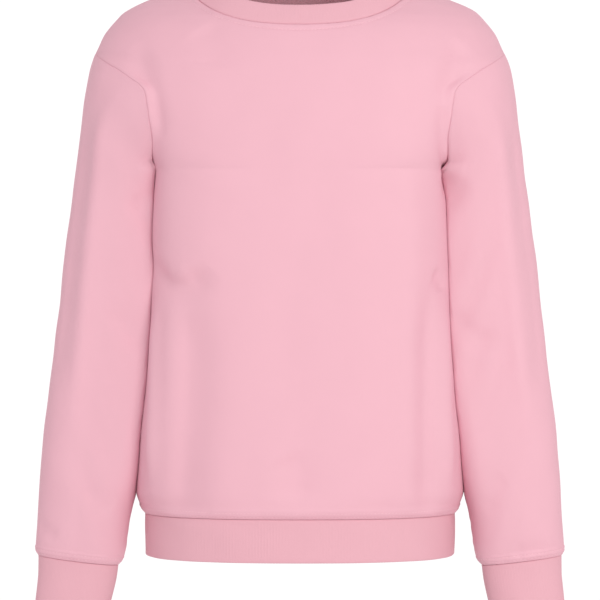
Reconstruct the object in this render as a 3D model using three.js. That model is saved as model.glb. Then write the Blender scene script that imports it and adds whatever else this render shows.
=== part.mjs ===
// A child's crewneck sweatshirt, filled out as it hangs on a wearer, with nobody in it.
// Millimetres, +Z up. The front faces -Y and the wearer's left is +X.
// The origin is the height of the shoulder's highest point, on the middle plane of the body.
import * as THREE from "three";

// Cloth and seams
const fleeceThickness = 1.9;
const ribThickness = 2.4;
const seamGap = 0.3;
const neckSeamGap = 0.75;
const ribPitch = 2.7;
const ribHeight = 0.35;

// Body
const hemSeamHeight = -498;
const hemBottomHeight = -538;
const underarmHeight = -178;
const shoulderPointHeight = -63;

// Neck
const neckHalfWidth = 107;
const neckFrontHeight = -45;
const neckBackHeight = 13;
const neckSideLift = 17;
const neckbandRise = 19;
const neckbandLean = 0.915;
const neckbandDepthLean = 0.925;

// Mesh steps
const frontColumns = 26;
const backColumns = 20;
const lowerRows = 12;
const armholeSteps = 10;
const shoulderSteps = 5;
const sleeveRows = 20;
const plainPointSpacing = 14;
const halfTurn = Math.PI;
const quarterTurn = Math.PI / 2;
const degree = Math.PI / 180;

// Short steps along a surface that its outward direction is worked out from
const angleStep = 0.01;
const surfaceStep = 0.02;

// Half-widths and depths of the level sections of the body, from the back of the neck to the hem seam.
// Between the shoulder point and the underarm the widest part of a section lies under the sleeve.
const bodySections = {
  columns: ["height", "halfWidth", "frontDepth", "backDepth", "squareness"],
  rows: [
    [-498, 147.8, 105.5, 104.5, 2.5],
    [-490, 151.4, 109, 107.5, 2.45],
    [-476, 155.2, 110, 108.5, 2.5],
    [-440, 153.6, 108, 107.5, 2.7],
    [-407, 150.9, 106.5, 106.5, 2.85],
    [-374, 147.7, 105.5, 105.5, 2.9],
    [-336, 144.3, 105, 105, 2.9],
    [-298, 142.8, 105, 104.5, 2.9],
    [-260, 142, 105.5, 104.5, 2.9],
    [-232, 141.2, 106, 105, 2.95],
    [-203, 139.2, 106, 106, 3],
    [-178, 137, 105.5, 107, 3.1],
    [-165, 144, 105, 108, 2.9],
    [-150, 160, 104, 108.5, 2.65],
    [-125, 184, 102, 109, 2.45],
    [-100, 203, 99.5, 107, 2.3],
    [-80, 202, 96, 103, 2.3],
    [-63, 193, 91.5, 98, 2.3],
    [-47, 185.5, 86, 92.5, 2.25],
    [-35, 176, 79, 88, 2.25],
    [-26, 167.5, 71, 83.5, 2.2],
    [-20, 157, 66, 80, 2.2],
    [-13, 141, 58, 75, 2.2],
    [1, 107, 46, 65, 2.2],
    [14, 107, 42, 56, 2.2],
  ],
};

// The armhole seam, as a height and an angle round the body section at each turn of the sleeve's top.
// A turn of 0 is the shoulder point, and 180 is the underarm.
const armholeSeam = {
  columns: ["turn", "height", "angle"],
  rows: [
    [0, -63, 0],
    [18, -67.5, 12.5],
    [36, -75.5, 26.5],
    [60, -90, 40],
    [84, -106, 47.5],
    [106, -128, 43.5],
    [130, -151, 34.5],
    [156, -170, 17],
    [180, -178, 0],
  ],
};

// Rings of the sleeve from the armhole to the cuff seam, by the outermost and innermost point of each.
const sleeveRings = {
  columns: ["row", "outerX", "outerZ", "innerX", "innerZ", "depth", "centreY", "squareness"],
  rows: [
    [0, 193, -63, 137, -178, 70, 0, 2.3],
    [1, 199.2, -80, 136, -184, 69, 1, 2.3],
    [2, 203.2, -102, 133, -192, 66.5, 1.5, 2.3],
    [3, 207, -132, 128.5, -204, 63.5, 1.5, 2.3],
    [4, 211.7, -170, 124, -222, 60, 1, 2.3],
    [5, 217, -212, 122, -250, 56.5, 0, 2.3],
    [6, 222.8, -256, 123, -284, 53, -2, 2.3],
    [7, 227.2, -300, 126, -322, 49.5, -4.5, 2.3],
    [8, 231.8, -340, 130, -358, 46, -7.5, 2.3],
    [9, 236.6, -380, 138, -395, 42.5, -11, 2.3],
    [10, 241.2, -420.5, 147, -431.5, 39, -14.5, 2.3],
    [11, 244.5, -460, 153, -469, 35.5, -18, 2.25],
    [12, 246.6, -498.3, 160.4, -506.2, 31.5, -21, 2.2],
    [13, 248.4, -528, 164.5, -534.8, 27, -23, 2.2],
    [14, 247.1, -537, 169.9, -546.6, 23.5, -24, 2.2],
  ],
};

const cuffRings = {
  columns: ["row", "outerX", "outerZ", "innerX", "innerZ", "depth", "centreY", "squareness"],
  rows: [
    [0, 245.9, -537.3, 170.9, -546.9, 22.4, -24, 2.2],
    [1, 245.9, -553.4, 173.1, -561.7, 21.8, -25, 2.2],
    [2, 248.5, -585.3, 180.5, -592.7, 20.4, -27.5, 2.2],
  ],
};

const hemSections = {
  columns: ["height", "halfWidth", "frontDepth", "backDepth", "squareness"],
  rows: [
    [-538, 146.2, 104.2, 103.4, 2.5],
    [-498, 146.6, 104.8, 104, 2.5],
  ],
};

// Soft folds of the body. Each runs from one place to another as seen from the front, and pushes the
// cloth in where its depth is positive and out where it is negative.
const foldColumns = ["fromX", "fromZ", "toX", "toZ", "reach", "depth"];
const frontFolds = {
  columns: foldColumns,
  rows: [
    [-153, -60, -134, -150, 13, 4],
    [153, -60, 137, -118, 13, 4],
    [137, -118, 134, -205, 11, 3.5],
    [-131, -266, -110, -288, 10, 3],
    [-110, -288, -86, -273, 9, 3.5],
    [-126, -300, -126, -360, 7, -1.6],
    [-114, -325, -116, -505, 16, 3],
    [122, -290, 121, -505, 13, 3],
    [112, -150, 111, -500, 10, -1.8],
    [126, -276, 131, -288, 9, 2.5],
    [-4, -445, -4, -462, 15, 1.3],
    [-84, -50, -78, -74, 15, 1.3],
    [-60, -150, -40, -420, 34, -1.6],
    [62, -200, 58, -460, 30, -1.4],
  ],
};

const backFolds = {
  columns: foldColumns,
  rows: [
    [-150, -62, -135, -160, 14, 4],
    [150, -62, 136, -155, 13, 4],
    [-128, -240, -96, -268, 12, 3],
    [112, -300, 128, -268, 11, 3],
    [-118, -320, -116, -505, 17, 3.2],
    [120, -285, 118, -505, 16, 3],
    [-50, -150, -44, -440, 32, -1.8],
    [48, -190, 56, -470, 30, -1.6],
    [-20, -60, 4, -100, 20, 1.4],
  ],
};

// Soft folds of the sleeves: each runs between two places given by the way along and the turn.
const sleeveFoldColumns = ["fromAlong", "fromTurn", "toAlong", "toTurn", "reach", "depth"];
const sleeveFolds = {
  left: {
    columns: sleeveFoldColumns,
    rows: [
      [0.2, 38, 0.72, 36, 10, -2.2],
      [0.24, 15, 0.7, 14, 15, 2.6],
      [0.25, 118, 0.36, 150, 10, 3],
      [0.5, 120, 0.56, 78, 10, 1.8],
      [0.9, 60, 0.92, 110, 8, 2.2],
      [0.3, 325, 0.75, 318, 12, -2],
      [0.32, 250, 0.42, 215, 11, 2.8],
      [0.55, 300, 0.6, 240, 11, 2],
      [0.9, 250, 0.91, 300, 9, 2.2],
    ],
  },
  right: {
    columns: sleeveFoldColumns,
    rows: [
      [0.22, 36, 0.66, 38, 9, -2.4],
      [0.22, 14, 0.66, 16, 15, 2.8],
      [0.22, 105, 0.33, 145, 11, 3.2],
      [0.47, 80, 0.54, 125, 10, 1.8],
      [0.84, 40, 0.86, 90, 9, 2.2],
      [0.28, 320, 0.7, 322, 12, -2],
      [0.3, 220, 0.4, 255, 11, 2.8],
      [0.58, 240, 0.63, 305, 11, 2],
      [0.88, 300, 0.9, 245, 9, 2.2],
    ],
  },
};

// Reads a table at any value of its first column, along smooth curves that don't overshoot the rows.
function curveThrough({ columns, rows }) {
  const ascending = [...rows].sort((a, b) => a[0] - b[0]);
  const last = ascending.length - 1;
  const rise = (i, c) => (ascending[i + 1][c] - ascending[i][c]) / (ascending[i + 1][0] - ascending[i][0]);
  const slope = (i, c) => {
    const before = rise(Math.max(i - 1, 0), c);
    const after = rise(Math.min(i, last - 1), c);
    return before * after <= 0 ? 0 : (2 * before * after) / (before + after);
  };
  return (value) => {
    const place = Math.min(Math.max(value, ascending[0][0]), ascending[last][0]);
    const i = Math.min(ascending.findLastIndex((row) => row[0] <= place), last - 1);
    const span = ascending[i + 1][0] - ascending[i][0];
    const t = (place - ascending[i][0]) / span;
    const read = (c) =>
      THREE.MathUtils.lerp(ascending[i][c], ascending[i + 1][c], t * t * (3 - 2 * t)) +
      span * t * (1 - t) * (slope(i, c) * (1 - t) - slope(i + 1, c) * t);
    return Object.fromEntries(columns.map((name, c) => [name, read(c)]));
  };
}

const bodyAt = curveThrough(bodySections);
const armholeAt = curveThrough(armholeSeam);
const sleeveAt = curveThrough(sleeveRings);
const cuffAt = curveThrough(cuffRings);
const hemAt = curveThrough(hemSections);

const smooth = (x) => THREE.MathUtils.smoothstep(x, 0, 1);
const roundedPower = (value, power) => Math.sign(value) * Math.abs(value) ** power;

// A point of a body section. The angle runs from 0 at the wearer's left side to a half turn at the
// right side, over the front where side is -1 and over the back where it is 1.
function sectionPoint(section, angle, side) {
  const power = 2 / section.squareness;
  const depth = side < 0 ? section.frontDepth : section.backDepth;
  const x = section.halfWidth * roundedPower(Math.cos(angle), power);
  const y = side * Math.max(depth * Math.abs(Math.sin(angle)) ** power, seamGap / 2);
  return new THREE.Vector3(x, y, section.height);
}

const bodyPoint = (angle, height, side) => sectionPoint({ ...bodyAt(height), height }, angle, side);

// The direction out of a surface, from two short steps along it.
function outwardOf(point, u, v, uRange, step, sign) {
  const low = Math.max(u - step, uRange[0]);
  const high = Math.min(u + step, uRange[1]);
  const alongU = point(high, v).sub(point(low, v));
  const alongV = point(u, v + step).sub(point(u, v - step));
  return alongU.cross(alongV).multiplyScalar(sign).normalize();
}

const bodyOutward = (angle, height, side) =>
  outwardOf((a, h) => bodyPoint(a, h, side), angle, height, [0, halfTurn], angleStep, side);

// The height of the neck seam, at a turn from the centre front round to the centre back.
function neckSeamHeight(turn) {
  const middle = (neckFrontHeight + neckBackHeight) / 2;
  const swing = (neckBackHeight - neckFrontHeight) / 2;
  return middle - swing * Math.cos(turn) + neckSideLift * Math.sin(turn) ** 4;
}

// The angle on the body section of a place that is known by its x and height.
function angleAt(x, height) {
  const section = bodyAt(height);
  const share = Math.min(Math.abs(x) / section.halfWidth, 1);
  const angle = Math.acos(share ** (section.squareness / 2));
  return x < 0 ? halfTurn - angle : angle;
}

function neckSeamPlace(turn) {
  const height = neckSeamHeight(turn);
  return { angle: angleAt(neckHalfWidth * Math.sin(turn), height), height };
}

// The outer edge of half a panel above the underarm: up the armhole, then along the shoulder seam.
const shoulderEase = 0.75;
const shoulderRowCentre = -72;
const upperRows = armholeSteps + shoulderSteps;
function panelEdge(row) {
  if (row <= armholeSteps) {
    const place = armholeAt(180 * (1 - row / armholeSteps));
    return { angle: place.angle * degree, height: place.height };
  }
  const share = ((row - armholeSteps) / shoulderSteps) ** shoulderEase;
  const neckPoint = neckSeamHeight(quarterTurn);
  return { angle: 0, height: THREE.MathUtils.lerp(shoulderPointHeight, neckPoint, share) };
}

// Where a grid point of half a panel lies: across is 0 at its edge and 1 at the centre line.
function upperPlace(across, row, side) {
  const up = row / upperRows;
  const edge = panelEdge(row);
  const neckPoint = panelEdge(upperRows);
  const centreTop = neckSeamHeight(side < 0 ? 0 : halfTurn);
  const neckTurn = side < 0 ? quarterTurn * (1 - across) : quarterTurn * (1 + across);
  const neck = neckSeamPlace(neckTurn);
  const straightAngle = THREE.MathUtils.lerp(neckPoint.angle, quarterTurn, across);
  const straightHeight = THREE.MathUtils.lerp(neckPoint.height, centreTop, across);
  const centreHeight =
    row <= armholeSteps
      ? THREE.MathUtils.lerp(underarmHeight, shoulderRowCentre, row / armholeSteps)
      : THREE.MathUtils.lerp(shoulderRowCentre, centreTop, (row - armholeSteps) / shoulderSteps);
  const lift = up ** 2;
  return {
    angle: THREE.MathUtils.lerp(edge.angle, quarterTurn, across) + lift * (neck.angle - straightAngle),
    height: THREE.MathUtils.lerp(edge.height, centreHeight, across) + lift * (neck.height - straightHeight),
  };
}

const distanceToSegment = (point, from, to) => {
  const nearest = new THREE.Vector3();
  new THREE.Line3(from, to).closestPointToPoint(point, true, nearest);
  return nearest.distanceTo(point);
};

const namedRows = ({ columns, rows }) =>
  rows.map((row) => Object.fromEntries(columns.map((name, c) => [name, row[c]])));

// How far the folds push a point of the cloth in.
const foldDepth = (folds, point) =>
  folds.reduce((sum, fold) => {
    const away = distanceToSegment(point, fold.from, fold.to) / fold.reach;
    return sum + fold.depth * Math.exp(-(away ** 2));
  }, 0);

function panelFolds(table, side) {
  const onPanel = (x, z) => bodyPoint(angleAt(x, Math.max(z, hemSeamHeight)), z, side);
  return namedRows(table).map((f) => ({
    from: onPanel(f.fromX, f.fromZ),
    to: onPanel(f.toX, f.toZ),
    reach: f.reach,
    depth: f.depth,
  }));
}

// The body's outward direction at an armhole, turned towards the sleeve's where the two run on smoothly,
// so that the ends of both walls are parallel.
function sharedOutward(own, other) {
  const agreement = Math.max(own.dot(other), 0);
  return own.clone().addScaledVector(other, agreement).normalize();
}

// A closed wall between an outer and an inner grid of points. A tube's rows run right round, and each
// four-sided patch is split along its shorter diagonal.
function wallGeometry(outer, inner, isTube) {
  const rows = outer.length;
  const columns = outer[0].length;
  const points = [...outer.flat(), ...inner.flat()];
  const skin = rows * columns;
  const index = [];
  const quad = (a, b, c, d) => index.push(a, b, c, a, c, d);
  const at = (r, c) => r * columns + (c % columns);
  const columnSteps = isTube ? columns : columns - 1;
  for (let r = 0; r < rows - 1; r += 1) {
    for (let c = 0; c < columnSteps; c += 1) {
      const corners = [at(r, c), at(r, c + 1), at(r + 1, c + 1), at(r + 1, c)];
      const across = points[corners[0]].distanceTo(points[corners[2]]);
      if (across > points[corners[1]].distanceTo(points[corners[3]])) corners.push(corners.shift());
      const [a, b, d, e] = corners;
      quad(a, b, d, e);
      quad(skin + a, skin + e, skin + d, skin + b);
    }
  }
  for (let c = 0; c < columnSteps; c += 1) {
    quad(at(0, c + 1), at(0, c), skin + at(0, c), skin + at(0, c + 1));
    quad(at(rows - 1, c), at(rows - 1, c + 1), skin + at(rows - 1, c + 1), skin + at(rows - 1, c));
  }
  if (!isTube) {
    const last = columns - 1;
    for (let r = 0; r < rows - 1; r += 1) {
      quad(at(r, 0), at(r + 1, 0), skin + at(r + 1, 0), skin + at(r, 0));
      quad(at(r + 1, last), at(r, last), skin + at(r, last), skin + at(r + 1, last));
    }
  }
  return facingOut(points, index);
}

// Builds the geometry, and turns every face round if the faces point inwards.
function facingOut(points, index) {
  let sixVolumes = 0;
  for (let i = 0; i < index.length; i += 3) {
    const [a, b, c] = [points[index[i]], points[index[i + 1]], points[index[i + 2]]];
    sixVolumes += a.dot(new THREE.Vector3().crossVectors(b, c));
  }
  const faces = sixVolumes < 0 ? index.toReversed() : index;
  return new THREE.BufferGeometry().setFromPoints(points).setIndex(faces);
}

const fleece = new THREE.MeshStandardMaterial({ color: "#f1bac6", roughness: 0.95, metalness: 0 });
const rib = new THREE.MeshStandardMaterial({ color: "#e9b1bf", roughness: 0.95, metalness: 0 });

function namedMesh(name, geometry, material) {
  const mesh = new THREE.Mesh(geometry, material);
  mesh.name = name;
  return mesh;
}

// The direction that the end of the cloth takes at a neck seam, shared by panel and neckband.
function neckOutward(angle, height, side, x) {
  const slant = Math.asin(Math.min(Math.abs(x) / neckHalfWidth, 1));
  const turn = (side < 0 ? slant : halfTurn - slant) * Math.sign(x || 1);
  return sharedOutward(bodyOutward(angle, height, side), neckbandOutward(0, turn));
}

// The sleeve's outward direction at a row of a panel's armhole edge.
function armholeSleeveOutward(row, side, x) {
  const turn = halfTurn * (1 - row / armholeSteps);
  const outward = sleeveOutward(0, side < 0 ? turn : 2 * halfTurn - turn);
  return x < 0 ? outward.setX(-outward.x) : outward;
}

// The front or the back: level rows up to the underarm, then rows that fan from armhole and shoulder.
const panelFade = 0.1;
function panel(name, side, columns, foldTable) {
  const folds = panelFolds(foldTable, side);
  const rowCount = lowerRows + upperRows;
  const outer = [];
  const inner = [];
  for (let r = 0; r <= rowCount; r += 1) {
    const outerRow = [];
    const innerRow = [];
    for (let c = 0; c <= columns; c += 1) {
      const across = 1 - Math.abs(1 - (2 * c) / columns);
      const level = THREE.MathUtils.lerp(hemSeamHeight, underarmHeight, r / lowerRows);
      const levelPlace = { angle: across * quarterTurn, height: level };
      const place = r <= lowerRows ? levelPlace : upperPlace(across, r - lowerRows, side);
      const angle = c < columns / 2 ? place.angle : halfTurn - place.angle;
      const point = bodyPoint(angle, place.height, side);
      const own = bodyOutward(angle, place.height, side);
      const fade = smooth(across / panelFade) * smooth(r) * smooth(rowCount - r);
      const push = foldDepth(folds, point) * fade;
      const atArmhole = across === 0 && r >= lowerRows && r <= lowerRows + armholeSteps;
      const thickness = own.clone();
      if (across === 0 && !atArmhole) thickness.setY(0).normalize();
      if (r === rowCount) thickness.copy(neckOutward(angle, place.height, side, point.x));
      if (atArmhole) thickness.copy(sharedOutward(own, armholeSleeveOutward(r - lowerRows, side, point.x)));
      if (r === 0) thickness.setZ(0).normalize();
      outerRow.push(point.clone().addScaledVector(own, -push));
      innerRow.push(point.clone().addScaledVector(own, -push).addScaledVector(thickness, -fleeceThickness));
    }
    outer.push(outerRow);
    inner.push(innerRow);
  }
  return namedMesh(name, wallGeometry(outer, inner, false), fleece);
}

// A point of an oval ring of a sleeve or cuff on the wearer's left. The turn runs from 0 at the outer
// side over the front to a half turn at the inner side, and back over the rear.
function ovalPoint(ring, turn) {
  const power = 2 / ring.squareness;
  const reach = roundedPower(Math.cos(turn), power) / 2;
  const x = (ring.outerX + ring.innerX) / 2 + (ring.outerX - ring.innerX) * reach;
  const z = (ring.outerZ + ring.innerZ) / 2 + (ring.outerZ - ring.innerZ) * reach;
  const y = ring.centreY - ring.depth * roundedPower(Math.sin(turn), power);
  return new THREE.Vector3(x, y, z);
}

function armholePoint(turn) {
  const place = armholeAt(Math.abs(THREE.MathUtils.euclideanModulo(turn / degree + 180, 360) - 180));
  return bodyPoint(place.angle * degree, place.height, Math.sin(turn) > 0 ? -1 : 1);
}

// The sleeve lies against the body's side below the underarm, a small clearance off it. The press is how
// softly its oval gives way there, and the onset is the height in which that begins.
const sleeveClearance = 0.8;
const sleevePress = 1.5;
const pressOnset = 6;
function heldOffBody(point) {
  const section = bodyAt(point.z);
  const depth = point.y < 0 ? section.frontDepth : section.backDepth;
  const inside = Math.max(1 - Math.abs(point.y / depth) ** section.squareness, 0);
  const side = section.halfWidth * inside ** (1 / section.squareness) + sleeveClearance;
  const apart = point.x - side;
  const pushed = side + (apart + Math.hypot(apart, sleevePress)) / 2;
  return point.setX(THREE.MathUtils.lerp(point.x, pushed, smooth((underarmHeight - point.z) / pressOnset)));
}

// The sleeve starts on the armhole seam and runs into its own oval rings within the first part of it.
const lastSleeveRow = sleeveRings.rows.length - 1;
const armholeBlend = 0.3;
function sleevePoint(along, turn) {
  const own = ovalPoint(sleeveAt(along * lastSleeveRow), turn);
  const stray = armholePoint(turn).sub(ovalPoint(sleeveAt(0), turn));
  return heldOffBody(own.addScaledVector(stray, (1 - smooth(along / armholeBlend)) ** 2));
}

const sleeveOutward = (along, turn) => outwardOf(sleevePoint, along, turn, [0, 1], surfaceStep, -1);

function armholeOutward(turn) {
  const place = armholeAt(Math.abs(THREE.MathUtils.euclideanModulo(turn / degree + 180, 360) - 180));
  return bodyOutward(place.angle * degree, place.height, Math.sin(turn) > 0 ? -1 : 1);
}

// Mirrors the rows of the left sleeve to the wearer's right side.
const onSide = (rows, mirror) => rows.map((row) => row.map((p) => p.clone().setX(p.x * mirror)));

const sleevePoints = 4 * Math.round(armholeSteps / 2);
const sleeveFade = 0.06;
function sleeve(name, mirror, foldTable) {
  const folds = namedRows(foldTable).map((f) => ({
    from: sleevePoint(f.fromAlong, f.fromTurn * degree),
    to: sleevePoint(f.toAlong, f.toTurn * degree),
    reach: f.reach,
    depth: f.depth,
  }));
  const outer = [];
  const inner = [];
  for (let r = 0; r <= sleeveRows; r += 1) {
    const along = r / sleeveRows;
    const turns = Array.from({ length: sleevePoints }, (_, c) => (2 * halfTurn * c) / sleevePoints);
    const places = turns.map((turn) => {
      const point = sleevePoint(along, turn);
      const own = sleeveOutward(along, turn);
      const fade = smooth(along / sleeveFade) * smooth((1 - along) / sleeveFade);
      point.addScaledVector(own, -foldDepth(folds, point) * fade);
      if (r > 0) return { point, thickness: own };
      const body = armholeOutward(turn);
      const apart = 1 - Math.max(body.dot(own), 0);
      const down = sleevePoint(surfaceStep, turn).sub(sleevePoint(0, turn)).normalize();
      point.addScaledVector(down.addScaledVector(body, apart).normalize(), seamGap * (1 + apart));
      return { point, thickness: sharedOutward(own, body) };
    });
    outer.push(places.map((p) => p.point));
    inner.push(places.map((p) => p.point.clone().addScaledVector(p.thickness, -fleeceThickness)));
  }
  return namedMesh(name, wallGeometry(onSide(outer, mirror), onSide(inner, mirror), true), fleece);
}

// Turns that lie at even steps along a closed ring of points.
const ringSamples = 720;
function evenTurns(ringPoint, count) {
  const turnAt = (i) => (2 * halfTurn * i) / ringSamples;
  const lengths = [0];
  for (let i = 1; i <= ringSamples; i += 1) {
    lengths.push(lengths[i - 1] + ringPoint(turnAt(i)).distanceTo(ringPoint(turnAt(i - 1))));
  }
  const whole = lengths[ringSamples];
  const total = count(whole);
  return Array.from({ length: total }, (_, k) => {
    const wanted = (whole * k) / total;
    const i = lengths.findIndex((length) => length > wanted);
    return turnAt(i - 1 + (wanted - lengths[i - 1]) / (lengths[i] - lengths[i - 1]));
  });
}

// A tube of rib knit: every second outer point is raised, over a plain inside with fewer points.
function ribTube(name, surface, outward, stations, mirror, startOutward = (turn) => outward(0, turn)) {
  const start = (turn) => surface(0, turn);
  const outerTurns = evenTurns(start, (length) => 2 * Math.round(length / ribPitch));
  const innerTurns = evenTurns(start, (length) => Math.round(length / plainPointSpacing));
  const thicknessAt = (along, turn) => (along === 0 ? startOutward(turn) : outward(along, turn));
  const row = (turns, along, push) =>
    turns.map((turn, k) => surface(along, turn).addScaledVector(thicknessAt(along, turn), push(k)));
  const outer = stations.map((along) => row(outerTurns, along, (k) => ribHeight * (k % 2)));
  const inner = stations.map((along) => row(innerTurns, along, () => -ribThickness));
  const points = [...onSide(outer, mirror).flat(), ...onSide(inner, mirror).flat()];
  const skin = outer.flat().length;
  const index = [];
  const wrap = (rows, first, reversed) => {
    const count = rows[0].length;
    for (let r = 0; r < rows.length - 1; r += 1) {
      for (let c = 0; c < count; c += 1) {
        const [a, b] = [first + r * count + c, first + r * count + ((c + 1) % count)];
        const faces = [a, b, b + count, a, b + count, a + count];
        index.push(...(reversed ? faces.reverse() : faces));
      }
    }
  };
  wrap(outer, 0, false);
  wrap(inner, skin, true);
  const lastOuter = skin - outerTurns.length;
  const lastInner = points.length - innerTurns.length;
  index.push(...endRing(0, outerTurns, skin, innerTurns).reverse());
  index.push(...endRing(lastOuter, outerTurns, lastInner, innerTurns));
  return namedMesh(name, facingOut(points, index), rib);
}

// The flat end of a tube whose outside has more points than its inside.
function endRing(outerFirst, outerTurns, innerFirst, innerTurns) {
  const faces = [];
  let o = 0;
  let i = 0;
  while (o < outerTurns.length || i < innerTurns.length) {
    const outerHere = outerFirst + (o % outerTurns.length);
    const innerHere = innerFirst + (i % innerTurns.length);
    const outerShare = (o + 1) / outerTurns.length;
    if (outerShare <= (i + 1) / innerTurns.length) {
      faces.push(outerHere, outerFirst + ((o + 1) % outerTurns.length), innerHere);
      o += 1;
    } else {
      faces.push(outerHere, innerFirst + ((i + 1) % innerTurns.length), innerHere);
      i += 1;
    }
  }
  return faces;
}

const lastCuffRow = cuffRings.rows.length - 1;
const cuffPoint = (along, turn) => ovalPoint(cuffAt(along * lastCuffRow), turn);
const cuffOutward = (along, turn) => outwardOf(cuffPoint, along, turn, [0, 1], surfaceStep, -1);

// A point of the hem band, by the way down from the seam and the turn round from the left side.
function hemPoint(along, turn) {
  const height = THREE.MathUtils.lerp(hemSeamHeight - seamGap, hemBottomHeight, along);
  const section = { ...hemAt(height), height };
  const half = Math.sin(turn) > 0 ? -1 : 1;
  const angle = half < 0 ? turn : 2 * halfTurn - turn;
  return sectionPoint(section, angle, half);
}

const hemOutward = (along, turn) => outwardOf(hemPoint, along, turn, [0, 1], surfaceStep, -1);

// A point of the neckband, by the way up from the neck seam and the turn round from the centre front.
function neckbandPoint(along, turn) {
  const fromFront = Math.abs(THREE.MathUtils.euclideanModulo(turn + halfTurn, 2 * halfTurn) - halfTurn);
  const place = neckSeamPlace(fromFront);
  const seam = bodyPoint(place.angle, place.height, fromFront < quarterTurn ? -1 : 1);
  seam.x *= Math.sign(Math.sin(turn) || 1);
  const top = seam.clone().multiply(new THREE.Vector3(neckbandLean, neckbandDepthLean, 1));
  top.z += neckbandRise;
  const gapShare = neckSeamGap / neckbandRise;
  return seam.lerp(top, gapShare + along * (1 - gapShare));
}

const neckbandOutward = (along, turn) => outwardOf(neckbandPoint, along, turn, [0, 1], surfaceStep, 1);

function neckbandStartOutward(turn) {
  const fromFront = Math.abs(THREE.MathUtils.euclideanModulo(turn + halfTurn, 2 * halfTurn) - halfTurn);
  const place = neckSeamPlace(fromFront);
  const outward = bodyOutward(place.angle, place.height, fromFront < quarterTurn ? -1 : 1);
  if (Math.sin(turn) < 0) outward.setX(-outward.x);
  return sharedOutward(neckbandOutward(0, turn), outward);
}

const sweatshirt = new THREE.Group();
sweatshirt.add(panel("front", -1, frontColumns, frontFolds));
sweatshirt.add(panel("back", 1, backColumns, backFolds));
for (const [side, mirror] of [["left", 1], ["right", -1]]) {
  sweatshirt.add(sleeve(`sleeve_${side}`, mirror, sleeveFolds[side]));
  sweatshirt.add(ribTube(`cuff_${side}`, cuffPoint, cuffOutward, [0, 0.5, 1], mirror));
}
sweatshirt.add(ribTube("hem_band", hemPoint, hemOutward, [0, 1], 1));
sweatshirt.add(ribTube("neckband", neckbandPoint, neckbandOutward, [0, 1], 1, neckbandStartOutward));

export default sweatshirt;
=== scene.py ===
import math

import bpy
import numpy as np
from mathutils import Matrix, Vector
from mathutils.bvhtree import BVHTree


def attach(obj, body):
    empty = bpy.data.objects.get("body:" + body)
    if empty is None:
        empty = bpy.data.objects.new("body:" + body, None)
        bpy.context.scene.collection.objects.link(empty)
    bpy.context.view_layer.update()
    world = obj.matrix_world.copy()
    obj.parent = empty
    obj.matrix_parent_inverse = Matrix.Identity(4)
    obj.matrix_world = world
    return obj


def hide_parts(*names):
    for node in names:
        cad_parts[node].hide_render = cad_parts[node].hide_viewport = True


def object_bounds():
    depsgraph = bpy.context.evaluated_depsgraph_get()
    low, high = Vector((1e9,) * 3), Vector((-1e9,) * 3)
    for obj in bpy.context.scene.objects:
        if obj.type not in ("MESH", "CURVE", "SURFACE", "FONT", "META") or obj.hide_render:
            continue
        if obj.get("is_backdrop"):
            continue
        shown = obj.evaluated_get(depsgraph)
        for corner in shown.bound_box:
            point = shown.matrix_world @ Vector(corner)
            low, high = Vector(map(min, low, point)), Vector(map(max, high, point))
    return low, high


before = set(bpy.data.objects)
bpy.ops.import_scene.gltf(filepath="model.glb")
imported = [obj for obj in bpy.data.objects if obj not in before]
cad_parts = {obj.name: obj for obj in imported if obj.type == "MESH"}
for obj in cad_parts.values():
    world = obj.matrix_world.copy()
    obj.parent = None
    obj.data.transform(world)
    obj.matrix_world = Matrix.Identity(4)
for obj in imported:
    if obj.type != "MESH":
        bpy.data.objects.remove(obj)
boxes = {"cad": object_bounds()}
mm = 0.001                      # everything below is worked out in millimetres
quarter = math.pi / 2
half = math.pi
full = 2 * math.pi


# the garment's surfaces, from the same tables as its pattern

def smooth(x):
    x = np.clip(x, 0, 1)
    return x * x * (3 - 2 * x)


def mix(a, b, share):
    return a + (b - a) * share


def unit(v):
    return v / np.maximum(np.linalg.norm(v, axis=-1, keepdims=True), 1e-9)


def roundedPower(value, power):
    return np.sign(value) * np.abs(value) ** power


def curveThrough(rows):
    # smooth curves through a table's rows that don't overshoot, read by its first column
    table = np.array(sorted(rows), float)
    key, values = table[:, 0], table[:, 1:]
    rise = np.diff(values, axis=0) / np.diff(key)[:, None]
    before = np.vstack([rise[:1], rise])
    after = np.vstack([rise, rise[-1:]])
    total = np.where(before * after > 0, before + after, 1)
    slope = np.where(before * after > 0, 2 * before * after / total, 0)

    def read(value):
        place = np.clip(value, key[0], key[-1])
        i = np.clip(np.searchsorted(key, place, side="right") - 1, 0, len(key) - 2)
        span = (key[i + 1] - key[i])[..., None]
        t = (place - key[i])[..., None] / span
        return (mix(values[i], values[i + 1], t * t * (3 - 2 * t))
                + span * t * (1 - t) * (slope[i] * (1 - t) - slope[i + 1] * t))
    return read


size = {
    "fleece": 1.9,
    "rib": 2.4,
    "seamGap": 0.3,
    "neckSeamGap": 0.4,
    "hemSeam": -498,
    "hemBottom": -538,
    "underarm": -178,
    "shoulderPoint": -63,
    "shoulderRowCentre": -72,
    "neckHalfWidth": 107,
    "neckFront": -45,
    "neckBack": 13,
    "neckSideLift": 17,
    "neckbandRise": 19,
    "neckbandLean": 0.915,
    "neckbandDepthLean": 0.925,
    "ribPitch": 2.7,
}
armholeSteps, shoulderSteps = 10, 5
upperRows = armholeSteps + shoulderSteps

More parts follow.
